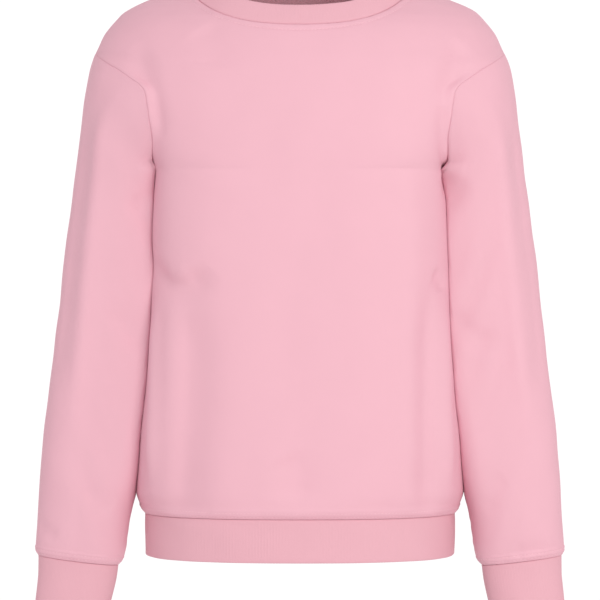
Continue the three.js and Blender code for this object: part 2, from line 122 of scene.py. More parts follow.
# height, halfWidth, frontDepth, backDepth, squareness
bodyAt = curveThrough([
    (-498, 147.8, 105.5, 104.5, 2.5), (-490, 151.4, 109, 107.5, 2.5), (-476, 155.2, 110, 108.5, 2.65),
    (-440, 153.6, 108, 107.5, 2.95), (-407, 150.9, 106.5, 106.5, 3.15), (-374, 147.7, 105.5, 105.5, 3.25),
    (-336, 144.3, 105, 105, 3.3), (-298, 142.8, 105, 104.5, 3.35), (-260, 141.5, 105.5, 104.5, 3.45),
    (-232, 140.4, 106, 105, 3.55), (-203, 138.2, 106, 106, 3.7), (-178, 137, 105.5, 107, 3.8),
    (-165, 144.5, 105, 108, 3.25), (-150, 158.5, 104, 108.5, 2.7), (-125, 184, 102, 109, 2.45),
    (-100, 203, 99.5, 107, 2.3), (-80, 202, 96, 103, 2.3), (-63, 193, 91.5, 98, 2.3),
    (-47, 185.5, 86, 92.5, 2.25), (-35, 176, 79, 88, 2.25), (-26, 167.5, 71, 83.5, 2.2),
    (-20, 157, 66, 80, 2.2), (-13, 141, 58, 75, 2.2), (1, 107, 46, 65, 2.2), (14, 107, 42, 56, 2.2),
])
# turn round the armhole from its top, height, angle on the body
armholeAt = curveThrough([
    (0, -63, 0), (18, -67.5, 12.5), (36, -75.5, 26.5), (60, -90, 40), (84, -106, 47.5),
    (106, -128, 43.5), (130, -151, 34.5), (156, -170, 17), (180, -178, 0),
])
# row, outerX, outerZ, innerX, innerZ, depth, centreY, squareness
sleeveAt = curveThrough([
    (0, 193, -63, 137, -178, 70, 0, 2.3), (1, 199.2, -80, 136, -184, 69, 1, 2.3),
    (2, 203.2, -102, 133, -192, 66.5, 1.5, 2.3), (3, 207, -132, 128.5, -204, 63.5, 1.5, 2.4),
    (4, 211.7, -170, 124, -222, 60, 1, 2.5), (5, 217, -212, 122, -250, 56.5, 0, 2.65),
    (6, 222.8, -256, 123, -284, 53, -2, 2.75), (7, 227.2, -300, 126, -322, 49.5, -4.5, 2.8),
    (8, 231.8, -340, 130, -358, 46, -7.5, 2.8), (9, 236.6, -380, 138, -395, 42.5, -11, 2.8),
    (10, 241.2, -420.5, 147, -431.5, 39, -14.5, 2.7), (11, 244.5, -460, 153, -469, 35.5, -18, 2.5),
    (12, 246.6, -498.3, 160.4, -506.2, 31.5, -21, 2.2), (13, 248.4, -528, 164.5, -534.8, 27, -23, 2.2),
    (14, 247.1, -537, 169.9, -546.6, 23.5, -24, 2.2),
])
lastSleeveRow = 14
cuffAt = curveThrough([
    (0, 245.9, -537.3, 170.9, -546.9, 22.4, -24, 2.2),
    (1, 245.9, -553.4, 173.1, -561.7, 21.8, -25, 2.2),
    (2, 248.5, -585.3, 180.5, -592.7, 20.4, -27.5, 2.2),
])
lastCuffRow = 2
# height, halfWidth, frontDepth, backDepth, squareness
hemAt = curveThrough([(-538, 146.2, 104.2, 103.4, 2.5), (-498, 146.6, 104.8, 104, 2.5)])


def sectionPoint(section, angle, height, side):
    power = 2 / section[..., 3]
    depth = np.where(side < 0, section[..., 1], section[..., 2])
    x = section[..., 0] * roundedPower(np.cos(angle), power)
    y = side * (size["seamGap"] / 2 + (depth - size["seamGap"] / 2) * np.abs(np.sin(angle)) ** power)
    return np.stack(np.broadcast_arrays(x, y, height), axis=-1).astype(float)


def bodyPoint(angle, height, side):
    return sectionPoint(bodyAt(height), angle, height, side)


def evenDepth(points, side, share):
    # evens out how the chest's depth changes with height
    x, y, z = np.moveaxis(points, -1, 0)
    total, whole = 0, 0
    for step in range(-66, 67, 6):
        section = bodyAt(z + step)
        room = np.clip(1 - (np.abs(x) / section[..., 0]) ** section[..., 3], 0, 1)
        weight = math.exp(-(step / 32) ** 2)
        total = total + weight * section[..., 1 if side < 0 else 2] * room ** (1 / section[..., 3])
        whole += weight
    return np.stack([x, mix(y, side * total / whole, share), z], axis=-1)


def outwardOf(point, u, v, uRange, step, sign):
    alongU = point(np.minimum(u + step, uRange[1]), v) - point(np.maximum(u - step, uRange[0]), v)
    alongV = point(u, v + step) - point(u, v - step)
    return unit(np.cross(alongU, alongV) * sign)


def bodyOutward(angle, height, side):
    sign = np.asarray(side)[..., None] if np.ndim(side) else side
    return outwardOf(lambda a, h: bodyPoint(a, h, side), angle, height, (0, half), 0.01, sign)


def neckSeamHeight(turn):
    middle = (size["neckFront"] + size["neckBack"]) / 2
    swing = (size["neckBack"] - size["neckFront"]) / 2
    return middle - swing * np.cos(turn) + size["neckSideLift"] * np.sin(turn) ** 4


def angleAt(x, height):
    section = bodyAt(height)
    share = np.clip(np.abs(x) / section[..., 0], 0, 1)
    angle = np.arccos(share ** (section[..., 3] / 2))
    return np.where(x < 0, half - angle, angle)


def neckSeamPlace(turn):
    height = neckSeamHeight(turn)
    return angleAt(size["neckHalfWidth"] * np.abs(np.sin(turn)), height), height


def panelEdge(row):
    arm = armholeAt(180 * (1 - np.clip(row / armholeSteps, 0, 1)))
    share = np.clip((row - armholeSteps) / shoulderSteps, 0, 1) ** 0.75
    onShoulder = mix(size["shoulderPoint"], neckSeamHeight(np.asarray(quarter)), share)
    atArm = row <= armholeSteps
    return np.where(atArm, np.radians(arm[..., 1]), 0), np.where(atArm, arm[..., 0], onShoulder)


def upperPlace(across, row, side):
    # the grid above the underarm fans from the armhole and the shoulder seam
    edgeAngle, edgeHeight = panelEdge(row)
    top = np.asarray(float(upperRows))
    neckPointAngle, neckPointHeight = panelEdge(top)
    centreTop = neckSeamHeight(np.asarray(0.0 if side < 0 else half))
    neckAngle, neckHeight = neckSeamPlace(quarter * (1 + side * across))
    centreHeight = np.where(
        row <= armholeSteps,
        mix(size["underarm"], size["shoulderRowCentre"], row / armholeSteps),
        mix(size["shoulderRowCentre"], centreTop, (row - armholeSteps) / shoulderSteps))
    lift = (row / upperRows) ** 2
    angle = mix(edgeAngle, quarter, across) + lift * (neckAngle - mix(neckPointAngle, quarter, across))
    height = mix(edgeHeight, centreHeight, across)
    height = height + lift * (neckHeight - mix(neckPointHeight, centreTop, across))
    return angle, height


def ovalPoint(ring, turn):
    # ring: outerX, outerZ, innerX, innerZ, depth, centreY, squareness
    # turn 0 is the outer side, then comes the front
    outerX, outerZ, innerX, innerZ, depth, centreY, squareness = np.moveaxis(ring, -1, 0)
    power = 2 / squareness
    reach = roundedPower(np.cos(turn), power) / 2
    x = (outerX + innerX) / 2 + (outerX - innerX) * reach
    z = (outerZ + innerZ) / 2 + (outerZ - innerZ) * reach
    y = centreY - depth * roundedPower(np.sin(turn), power)
    return np.stack(np.broadcast_arrays(x, y, z), axis=-1)


def armholePlace(turn):
    fromTop = np.abs((np.degrees(turn) + 180) % 360 - 180)
    place = armholeAt(fromTop)
    return np.radians(place[..., 1]), place[..., 0], np.where(np.sin(turn) > 0, -1, 1)


def armholePoint(turn):
    return bodyPoint(*armholePlace(turn))


def sleevePoint(along, turn):
    along, turn = np.broadcast_arrays(along, turn)
    own = ovalPoint(sleeveAt(along * lastSleeveRow), turn)
    stray = armholePoint(turn) - ovalPoint(sleeveAt(np.zeros_like(turn)), turn)
    return own + stray * ((1 - smooth(along / 0.3)) ** 2)[..., None]


def cuffPoint(along, turn):
    along, turn = np.broadcast_arrays(along, turn)
    return ovalPoint(cuffAt(along * lastCuffRow), turn)


def hemPoint(along, turn):
    along, turn = np.broadcast_arrays(along, turn)
    height = mix(size["hemSeam"] - size["seamGap"], size["hemBottom"], along)
    side = np.where(np.sin(turn) > 0, -1, 1)
    return sectionPoint(hemAt(height), np.where(side < 0, turn, full - turn), height, side)


def neckbandPoint(along, turn):
    along, turn = np.broadcast_arrays(along, turn)
    fromFront = np.abs((turn + half) % full - half)
    angle, height = neckSeamPlace(fromFront)
    seam = bodyPoint(angle, height, np.where(fromFront < quarter, -1, 1))
    seam[..., 0] *= np.where(np.sin(turn) < 0, -1, 1)
    top = seam * [size["neckbandLean"], size["neckbandDepthLean"], 1] + [0, 0, size["neckbandRise"]]
    gap = size["neckSeamGap"] / size["neckbandRise"]
    return mix(seam, top, (gap + along * (1 - gap))[..., None])


# cloth: grids, folds, waves

def wayAlong(points, axis):
    # distance along a grid's rows (axis 1) or columns (axis 0), in mm
    steps = np.linalg.norm(np.diff(points, axis=axis), axis=-1)
    lengths = np.cumsum(steps, axis=axis)
    return np.insert(lengths, 0, 0, axis=axis)


def gradedPlaces(length, fine, coarse):
    # places from 0 to 1 with fine steps at both ends that grow to coarse ones
    steps, step, reached = [], fine, 0
    while reached + step < length / 2:
        steps.append(step)
        reached += step
        step = min(step * 1.22, coarse)
    ends = np.array(steps + steps[::-1])
    places = np.insert(np.cumsum(ends), 0, 0)
    return places / places[-1]


def evenly(point, rows, dense, shares):
    # for each row, the places across it that lie at these shares of its length
    points = point(rows[:, None], dense[None, :])
    way = wayAlong(points, 1)
    return np.array([np.interp(shares * w[-1], w, dense) for w in way])


def gridOutward(points, sign):
    return unit(np.cross(np.gradient(points, axis=1), np.gradient(points, axis=0)) * sign)


def softWaves(u, v, wavelength, seed):
    # uneven soft waves about a wavelength long, between about -1 and 1
    random = np.random.default_rng(seed)
    total = np.zeros(np.broadcast(u, v).shape)
    for _ in range(14):
        turn, phase = random.uniform(0, full, 2)
        rate = full / (wavelength * random.uniform(0.65, 1.6))
        total += np.sin((u * math.cos(turn) + v * math.sin(turn)) * rate + phase)
    return total / 3.8


def foldPath(onCloth, scale, fold):
    # points along a crease that bows to one side between its two ends
    t = np.linspace(0, 1, 13)
    start, end, bow = np.array(fold[:2]), np.array(fold[2:4]), fold[4]
    reach = (end - start) * scale
    sideways = np.array([-reach[1], reach[0]]) / np.linalg.norm(reach) / scale
    places = start + (end - start) * t[:, None] + sideways * (4 * t * (1 - t) * bow)[:, None]
    return onCloth(places[:, 0], places[:, 1])


def foldPush(points, outward, folds):
    # how far the creases push the cloth in; a lean makes one flank of a crease steeper than the other
    total = np.zeros(points.shape[:2])
    for path, reach, depth, lean in folds:
        room = 3.5 * reach
        near = ((points > path.min(0) - room) & (points < path.max(0) + room)).all(-1)
        here, out = points[near], outward[near]
        starts, steps = path[:-1], np.diff(path, axis=0)
        offset = here[:, None] - starts
        t = np.clip((offset * steps).sum(-1) / (steps * steps).sum(-1), 0, 1)
        away = offset - steps * t[..., None]
        distance = np.linalg.norm(away, axis=-1)
        nearest = distance.argmin(1)
        row = np.arange(len(here))
        flank = np.sign((np.cross(steps[nearest], out) * away[row, nearest]).sum(-1))
        way = (nearest + t[row, nearest]) / len(steps)
        taper = smooth(way / 0.3 + 0.25) * smooth((1 - way) / 0.3 + 0.25)
        width = reach * (1 + lean * flank)
        total[near] += depth * taper * np.exp(-(distance[row, nearest] / width) ** 2)
    return total


def meshOf(name, points, faces, uvs, materials, slots=None):
    mesh = bpy.data.meshes.new(name)
    mesh.from_pydata(points.reshape(-1, 3) * mm, [], faces)
    layer = mesh.uv_layers.new(name="cloth mm")
    layer.data.foreach_set("uv", np.asarray(uvs, np.float32).ravel())
    for material in materials:
        mesh.materials.append(material)
    if slots is not None:
        mesh.polygons.foreach_set("material_index", np.asarray(slots, np.int32))
    mesh.polygons.foreach_set("use_smooth", np.ones(len(faces), bool))
    mesh.validate()
    mesh.update()
    piece = bpy.data.objects.new(name, mesh)
    bpy.context.collection.objects.link(piece)
    return piece


def gridFaces(rows, columns, first=0, closed=False):
    r, c = np.meshgrid(np.arange(rows - 1), np.arange(columns if closed else columns - 1), indexing="ij")
    a = first + r * columns + c
    b = first + r * columns + (c + 1) % columns
    return np.stack([a, b, b + columns, a + columns], axis=-1).reshape(-1, 4)


def shell(name, outer, inner, uv, mirror, materials):
    # a sheet of cloth with a face, a back and its four cut edges
    rows, columns = outer.shape[:2]
    face = gridFaces(rows, columns)
    skin = rows * columns
    bottom, left = np.arange(columns), np.arange(rows) * columns
    rims = []
    top, right = bottom + skin - columns, left + columns - 1
    for edge, reverse in ((bottom, True), (top, False), (left, False), (right, True)):
        a, b = (edge[1:], edge[:-1]) if reverse else (edge[:-1], edge[1:])
        rims.append(np.stack([a, b, b + skin, a + skin], axis=-1))
    faces = np.concatenate([face, face[:, ::-1] + skin, *rims])
    points = np.concatenate([outer.reshape(-1, 3), inner.reshape(-1, 3)])
    if mirror < 0:
        points = points * [-1, 1, 1]
        faces = faces[:, ::-1]
    uvs = np.concatenate([uv.reshape(-1, 2), uv.reshape(-1, 2)])[faces]
    slots = np.zeros(len(faces), int)
    slots[len(face):] = 1
    return meshOf(name, points, faces, uvs, materials, slots)


# seams

seams = {
    "roll": 0.4,            # how deep the two edges of a seam turn in
    "rollWidth": 1.4,
    "pucker": 0.16,         # small waves that the sewing draws up beside a seam
    "puckerReach": 9,
    "puckerLength": 9,
    "turnReach": 8,         # over how much cloth the edge takes the seam's own direction
    "stitchGroove": 0.4,
    "tuck": 0.8,            # how far the allowance under the stitch rows lifts the cloth
    "tuckEnds": (1.0, 7.4),
    "stitchRows": (2.2, 6.2),
    "stitchPitch": 3.4,
    "neckRidge": 0.5,
    "neckStitchAt": 5.5,
}


def seamRoll(distance):
    return seams["roll"] * (1 - smooth(distance / seams["rollWidth"])) ** 1.5


def pucker(distance, along, seed):
    fade = np.exp(-(distance / seams["puckerReach"]) ** 2)
    return seams["pucker"] * fade * softWaves(along, distance * 0.3, seams["puckerLength"], seed)


def groove(distance, places, deep):
    return sum(deep * np.exp(-((distance - place) / 0.75) ** 2) for place in places)


def tucked(distance):
    start, end = seams["tuckEnds"]
    return seams["tuck"] * smooth((distance - start) / 1.6) * (1 - smooth((distance - end) / 2.2))


def turnTowards(outward, edge, distance):
    share = (1 - smooth(distance / seams["turnReach"]))[..., None]
    return unit(outward * (1 - share) + edge * share)


def armholeDirection(turn):
    # halfway between the ways out of the body and of the sleeve, shared by both edges of the armhole seam
    angle, height, side = armholePlace(turn)
    sleeve = outwardOf(sleevePoint, np.zeros_like(turn), turn, (0, 1), 0.02, -1)
    return unit(bodyOutward(angle, height, side) + sleeve)


def neckDirection(turn):
    fromFront = np.abs((turn + half) % full - half)
    angle, height = neckSeamPlace(fromFront)
    body = bodyOutward(angle, height, np.where(fromFront < quarter, -1, 1))
    body[..., 0] *= np.where(np.sin(turn) < 0, -1, 1)
    return unit(body + outwardOf(neckbandPoint, np.zeros_like(turn), turn, (0, 1), 0.02, -1))


# materials

def linear(hexColour):
    channels = [int(hexColour[i:i + 2], 16) / 255 for i in (1, 3, 5)]
    return [c / 12.92 if c <= 0.04045 else ((c + 0.055) / 1.055) ** 2.4 for c in channels] + [1.0]


def add(tree, kind, inputs, **settings):
    # adds a shader node with its settings; an input takes a value, a socket or another node's first output
    node = tree.nodes.new("ShaderNode" + kind)
    for name, value in settings.items():
        setattr(node, name, value)
    for socket, value in inputs.items():
        if isinstance(value, bpy.types.Node):
            value = value.outputs[0]
        if isinstance(value, bpy.types.NodeSocket):
            tree.links.new(value, node.inputs[socket])
        else:
            node.inputs[socket].default_value = value
    return node


def knitFace(tree, knit):
    # heights of a jersey face in mm: wales down the cloth, and legs that slant to the middle of each
    place = add(tree, "SeparateXYZ", {0: add(tree, "UVMap", {}, uv_map="cloth mm")})
    wale = add(tree, "Math", {0: place.outputs["X"], 1: knit["wale"] / 2}, operation="PINGPONG")
    slant = add(tree, "Math", {0: wale, 1: 1.3, 2: place.outputs["Y"]}, operation="MULTIPLY_ADD")
    leg = add(tree, "Math", {0: slant, 1: knit["course"] / 2}, operation="PINGPONG")
    return add(tree, "Math", {0: wale, 1: leg}, operation="ADD")


def fuzz(tree, knit):
    # heights of a loose nap: soft tufts with fine fibres in them
    where = add(tree, "UVMap", {}, uv_map="cloth mm")
    return add(tree, "TexNoise", {
        "Vector": where, "Scale": 1 / knit["tuft"], "Detail": 5.0, "Roughness": 0.7})


def clothMaterial(name, knit, heights):
    material = bpy.data.materials.new(name)
    material.use_nodes = True
    tree = material.node_tree
    where = add(tree, "UVMap", {}, uv_map="cloth mm")
    patches = add(tree, "TexNoise", {"Vector": where, "Scale": 1 / knit["patchSize"], "Detail": 2.0})
    value = add(tree, "MapRange", {
        "Value": patches, "To Min": 1 - knit["patchShade"], "To Max": 1 + knit["patchShade"]})
    shade = add(tree, "HueSaturation", {"Color": linear(knit["colour"]), "Value": value})
    relief = add(tree, "Bump", {
        "Height": heights(tree, knit), "Distance": knit["relief"] * mm, "Strength": 1.0})
    shader = tree.nodes["Principled BSDF"]
    tree.links.new(shade.outputs[0], shader.inputs["Base Color"])
    tree.links.new(relief.outputs[0], shader.inputs["Normal"])
    shader.inputs["Roughness"].default_value = knit["roughness"]
    shader.inputs["IOR"].default_value = 1.5
    shader.inputs["Specular IOR Level"].default_value = knit["specular"]
    shader.inputs["Sheen Weight"].default_value = knit["sheen"]
    shader.inputs["Sheen Roughness"].default_value = 0.5
    shader.inputs["Sheen Tint"].default_value = linear(knit["colour"])
    return material


# Sweatshirt fleece, knitted of combed cotton and polyester and piece dyed: its face is a fine jersey that
# looks smooth and matt, with a faint bloom of loose fibre at its edges. Wales and courses are at real size.
fleeceFace = clothMaterial("sweatshirt fleece, jersey face", {
    "colour": "#e6afbe", "roughness": 0.55, "specular": 0.6, "sheen": 0.25,
    "patchSize": 28, "patchShade": 0.012, "wale": 0.85, "course": 0.65, "relief": 0.16}, knitFace)
# the same cloth's inside, brushed to a nap: no knit shows, and it looks softer and a little duller
fleeceBack = clothMaterial("sweatshirt fleece, brushed back", {
    "colour": "#dfa8b5", "roughness": 1.0, "specular": 0.1, "sheen": 0.3, "patchSize": 9, "patchShade": 0.03,
    "tuft": 1.6, "relief": 0.5}, fuzz)
# 1x1 rib knit of the same yarn with elastane, in a dye lot a shade deeper: tighter, so less bloom
ribKnit = clothMaterial("rib knit", {
    "colour": "#e0a9b6", "roughness": 0.65, "specular": 0.4, "sheen": 0.2,
    "patchSize": 35, "patchShade": 0.01, "wale": 1.35, "course": 0.7, "relief": 0.12}, knitFace)
# spun polyester sewing thread, coloured lighter than the cloth as a painted highlight, so that its stitch
# rows read as a light line; it also shines a little more than the cloth
thread = clothMaterial("spun polyester thread", {
    "colour": "#efc2cc", "roughness": 0.6, "specular": 0.5, "sheen": 0.0, "patchSize": 5, "patchShade": 0.02,
    "tuft": 0.3, "relief": 0.05}, fuzz)


# the front and the back

# fromX, fromZ, toX, toZ, bow, reach, depth, lean: seen from the front, in mm; a negative depth is a ridge
frontFolds = [
    (-153, -60, -134, -150, 4, 13, 4, 0.1),
    (153, -60, 137, -118, -4, 13, 4, 0.1),
    (137, -118, 134, -205, 0, 11, 3.5, 0),
    (-138, -260, -82, -268, -23, 13, 5.5, 0.2),
    (-134, -296, -139, -470, 0, 9, -4, 0),
    (134, -300, 139, -480, 0, 9, -3.5, 0),
    (-104, -290, -112, -512, 5, 20, 7, -0.2),
    (119, -290, 119, -505, -3, 12, 5, 0.2),
    (98, -140, 100, -500, 4, 15, -2.4, 0),
    (124, -272, 132, -290, 2, 10, 3.4, 0.2),
    (-11, -438, -2, -480, 3, 17, 2.4, 0.2),
    (-92, -46, -80, -86, 4, 18, 2, 0),
    (-66, -90, -50, -200, 6, 30, 1.6, 0),
    (62, -200, 58, -460, -5, 30, -1.4, 0),
    (-128, -182, -60, -214, -6, 20, 1.3, 0.2),
    (126, -190, 84, -228, 5, 18, 1.1, 0.2),
    (-58, -484, 34, -474, 4, 16, 0.9, 0),
]
backFolds = [
    (-150, -62, -135, -160, 4, 14, 4, 0.1),
    (150, -62, 136, -155, -3, 13, 4, 0.1),
    (-134, -244, -92, -262, -18, 13, 2.8, 0.3),
    (88, -284, 130, -262, -14, 12, 2.6, 0.3),
    (-118, -300, -116, -505, 5, 17, 3, -0.2),
    (119, -285, 118, -505, -4, 15, 2.8, 0.2),
    (-50, -150, -44, -440, 6, 32, -1.8, 0),
    (48, -190, 56, -470, -5, 30, -1.6, 0),
    (-20, -60, 4, -100, 4, 20, 1.4, 0),
    (-124, -186, -52, -206, -7, 19, 1.4, 0.2),
    (122, -180, 60, -212, 7, 20, 1.5, 0.2),
    (14, -430, 22, -476, -3, 17, 1.5, 0.2),
]
clothStep = 2.7                 # mm between a grid's points away from the seams
seamStep = 0.6                  # and beside them
# the chest's depth is evened out away from the sides, the armholes and the hem, and below evenBelow
panels = {
    "width": 400,               # about, for the number of columns
    "shoulderLength": 107,
    "evenFromSide": 14,
    "evenRoom": 30,
    "evenFromHem": 60,
    "evenBelow": -85,
    "evenOver": 60,
    "softened": 8,              # passes that soften the chest's directions
    "armholeRows": 75,
    "armholeGrading": 1.7,      # above 1 the rows are closest at the underarm
    "unevenness": 0.35,         # soft waves all over the cloth, and how long they are
    "unevenLength": 55,
    "foldsFromSide": 14,        # the creases fade out over this much cloth beside a seam
    "foldsFromEdge": 10,
    "neckRidgeEnd": 4.2,
}


def panelRows():
    # the height, or the way up the armhole and shoulder, of each row of a panel
    lowerLength = size["underarm"] - size["hemSeam"]
    lower = gradedPlaces(2 * lowerLength, 0.5, 2.6)
    lower = lower[lower <= 0.5] * 2
    beside = np.linspace(0, 1, panels["armholeRows"] + 1)[1:] ** panels["armholeGrading"] * armholeSteps
    upper = gradedPlaces(2 * panels["shoulderLength"], seamStep, clothStep)
    upper = (1 - upper[upper <= 0.5][::-1] * 2) * shoulderSteps + armholeSteps
    return lower / lower[-1], np.concatenate([beside, upper])


def panelPoint(lowerShare, row, across, side):
    # the angle and height on the body of one row's places; across runs from one side seam to the other
    toCentre = 1 - np.abs(1 - 2 * across)
    if row is None:
        angle = toCentre * quarter
        height = np.full_like(across, mix(size["hemSeam"], size["underarm"], lowerShare))
    else:
        angle, height = upperPlace(toCentre, np.full_like(across, row), side)
    return np.where(across < 0.5, angle, half - angle), height


def panel(name, side, foldRows, seed):
    lower, upper = panelRows()
    rows = [(share, None) for share in lower] + [(1, row) for row in upper]
    even = np.linspace(0, 1, 401)
    graded = np.where(even < 0.5, 0.5 * (2 * even) ** 1.25, 1 - 0.5 * (2 - 2 * even) ** 1.25)
    dense = 0.5 * (graded + even)
    shares = gradedPlaces(panels["width"], seamStep, clothStep)
    if len(shares) % 2 == 0:
        shares = np.insert(shares, len(shares) // 2, 0.5)
    places = []
    for share, row in rows:
        angle, height = panelPoint(share, row, dense, side)
        way = wayAlong(bodyPoint(angle, height, side)[None], 1)[0]
        across = np.interp(shares * way[-1], way, dense)
        places.append(panelPoint(share, row, across, side))
    angle, height = (np.array(part) for part in zip(*places))
    base = bodyPoint(angle, height, side)
    around, up = wayAlong(base, 1), wayAlong(base, 0)
    fromSide = np.minimum(around, around[:, -1:] - around)
    fromHem, fromNeck = up, up[-1:] - up
    room = bodyAt(base[..., 2])[..., 0] - np.abs(base[..., 0])
    easing = smooth(fromSide / panels["evenFromSide"]) * smooth(room / panels["evenRoom"])
    easing *= smooth(fromHem / panels["evenFromHem"])
    easing *= smooth((panels["evenBelow"] - base[..., 2]) / panels["evenOver"])
    base = evenDepth(base, side, easing)
    outward = gridOutward(base, side)
    for _ in range(panels["softened"]):
        softer = unit(outward[:-2] + 2 * outward[1:-1] + outward[2:])
        outward[1:-1] = unit(mix(outward[1:-1], softer, easing[1:-1, :, None]))

    direction = outward.copy()
    firstUpper = len(lower)
    level = np.array([0] * firstUpper + list(upper))
    edge = outward.copy()
    edge[..., 1] = 0
    atArmhole = (np.arange(len(rows)) >= firstUpper - 1) & (level <= armholeSteps)
    turn = half * (1 - level[atArmhole] / armholeSteps)
    turn = turn if side < 0 else full - turn
    onLeft = armholeDirection(turn)
    columns = base.shape[1]
    edge[atArmhole] = np.where((np.arange(columns) < columns / 2)[None, :, None],
                               onLeft[:, None], (onLeft * [-1, 1, 1])[:, None])
    direction = turnTowards(direction, unit(edge), fromSide)
    direction = turnTowards(direction, unit(outward * [1, 1, 0]), fromHem)
    neckTurn = np.arcsin(np.clip(base[-1, :, 0] / size["neckHalfWidth"], -1, 1))
    neckTurn = neckTurn if side < 0 else half - neckTurn
    direction = turnTowards(direction, neckDirection(neckTurn)[None], fromNeck)

    onPanel = lambda x, z: bodyPoint(angleAt(x, np.maximum(z, size["hemSeam"])), z, side)
    folds = [(foldPath(onPanel, np.array([1.0, 1.0]), f), *f[5:]) for f in foldRows]
    seamFade = smooth(fromSide / panels["foldsFromSide"])
    seamFade *= smooth(fromHem / panels["foldsFromEdge"]) * smooth(fromNeck / panels["foldsFromEdge"])
    u, v = (around - around[:, [columns // 2]]) * -side, up
    push = foldPush(base, outward, folds) * seamFade
    uneven = softWaves(base[..., 0], base[..., 2], panels["unevenLength"], seed)
    push -= panels["unevenness"] * uneven * seamFade
    push += seamRoll(fromSide) + seamRoll(fromHem) + seamRoll(fromNeck)
    push += pucker(fromSide, v, seed + 1) + pucker(fromHem, u, seed + 2) + pucker(fromNeck, u, seed + 3)
    push += groove(fromHem, seams["stitchRows"], seams["stitchGroove"]) - tucked(fromHem)
    push += groove(fromNeck, [seams["neckStitchAt"]], seams["stitchGroove"])
    push -= seams["neckRidge"] * (1 - smooth((fromNeck - panels["neckRidgeEnd"]) / 1.2))
    outer = base - direction * push[..., None]
    inner = outer - direction * size["fleece"]
    uv = np.stack([u, v], axis=-1)
    if side > 0:
        outer, inner, uv = outer[:, ::-1], inner[:, ::-1], uv[:, ::-1]
    piece = shell(name, outer, inner, uv, 1, [fleeceFace, fleeceBack])
    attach(piece, "root")
    ways = {"direction": direction, "fromHem": fromHem, "fromNeck": fromNeck}
    if side > 0:
        ways = {name: way[:, ::-1] for name, way in ways.items()}
    return piece, outer, ways


front, frontSurface, frontWays = panel("front_cloth", -1, frontFolds, 1)
back, backSurface, backWays = panel("back_cloth", 1, backFolds, 20)
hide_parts("front")
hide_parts("back")
print("front and back", len(front.data.polygons), len(back.data.polygons))


# the sleeves

# fromAlong, fromTurn, toAlong, toTurn, bow, reach, depth, lean: the way down the sleeve from 0 to 1, and the
# turn in degrees from its outer side over the front; bow, reach and depth in mm
innerRidges = [                 # they fill the cloth out towards the body, in front of the arm and behind it
    (0.22, 138, 0.84, 141, 0, 17, -9, 0),
    (0.01, 150, 0.34, 144, 0, 14, -9, 0),
    (0.24, 222, 0.84, 219, 0, 17, -8, 0),
    (0.01, 212, 0.34, 217, 0, 14, -8, 0),
]
sleeveFolds = {
    "left": [
        *innerRidges,
        (0.1, 62, 0.74, 72, 2, 9, -2.6, 0),
        (0.18, 38, 0.7, 40, -2, 13, 3.4, 0.2),
        (0.22, 108, 0.33, 142, 5, 11, 3, 0.2),
        (0.48, 124, 0.55, 86, 4, 11, 1.7, 0.2),
        (0.93, 58, 0.945, 102, 2, 7, 1.7, 0.2),
        (0.78, 96, 0.84, 128, 3, 9, 1.3, 0.2),
        (0.14, 296, 0.72, 288, 3, 9, -1.8, 0),
        (0.2, 318, 0.68, 320, -2, 13, 2.2, 0.2),
        (0.3, 252, 0.4, 216, 5, 11, 2.8, 0.2),
        (0.55, 284, 0.6, 240, 4, 11, 1.8, 0.2),
        (0.91, 246, 0.92, 298, 2, 8, 1.9, 0.2),
    ],
    "right": [
        *innerRidges,
        (0.1, 62, 0.7, 72, -2, 9, -2.8, 0),
        (0.16, 38, 0.64, 40, 2, 13, 3.6, 0.2),
        (0.28, 100, 0.38, 136, 5, 12, 3, 0.2),
        (0.5, 86, 0.56, 124, 4, 10, 1.6, 0.2),
        (0.885, 22, 0.9, 62, 2, 7, 1.8, 0.2),
        (0.8, 88, 0.83, 126, -3, 9, 1.3, 0.2),
        (0.12, 294, 0.7, 290, -3, 9, -1.8, 0),
        (0.18, 320, 0.66, 320, 2, 13, 2.2, 0.2),
        (0.26, 222, 0.37, 256, 5, 11, 2.8, 0.2),
        (0.58, 240, 0.63, 296, 4, 11, 1.8, 0.2),
        (0.9, 300, 0.915, 250, 2, 8, 1.9, 0.2),
    ],
}
arms = {
    "length": 480,
    "girth": 300,               # on average, for the number of columns
    "unevenness": 0.35,
    "unevenLength": 50,
    "foldsFromSeam": 8,
    "ownSeamRoll": 0.6,         # its own seam turns in less than the others
}
bodyTree = BVHTree.FromPolygons(
    np.concatenate([frontSurface.reshape(-1, 3), backSurface.reshape(-1, 3)]).tolist(),
    np.concatenate([gridFaces(*frontSurface.shape[:2]),
                    gridFaces(*backSurface.shape[:2], first=frontSurface[..., 0].size)]).tolist())
# besideSeam keeps the rays out of the body's side seam, which is open by a hair
rest = {"clearance": 0.15, "press": 0.5, "onset": 3, "besideSeam": 0.8, "castFrom": 300, "farthest": 170}


def castFromSide(mirror, y, z):
    y = math.copysign(max(abs(y), rest["besideSeam"]), y)
    place = bodyTree.ray_cast(Vector((rest["castFrom"] * mirror, y, z)), Vector((-mirror, 0, 0)))[0]
    return -1e3 if place is None else place.x * mirror


def restOnBody(points, mirror):
    # lays the sleeve's inner side on the body's own folds, a hair off them
    x, y, z = np.moveaxis(points, -1, 0)
    near = (z < size["underarm"]) & (z > size["hemSeam"]) & (x < rest["farthest"])
    side = np.full(x.shape, -1e3)
    side[near] = [castFromSide(mirror, ny, nz) for ny, nz in zip(y[near], z[near])]
    apart = x - side - rest["clearance"]
    pushed = side + rest["clearance"] + (apart + np.hypot(apart, rest["press"])) / 2
    share = np.where(near, smooth((size["underarm"] - z) / rest["onset"]), 0)
    return np.stack([mix(x, pushed, share), y, z], axis=-1)


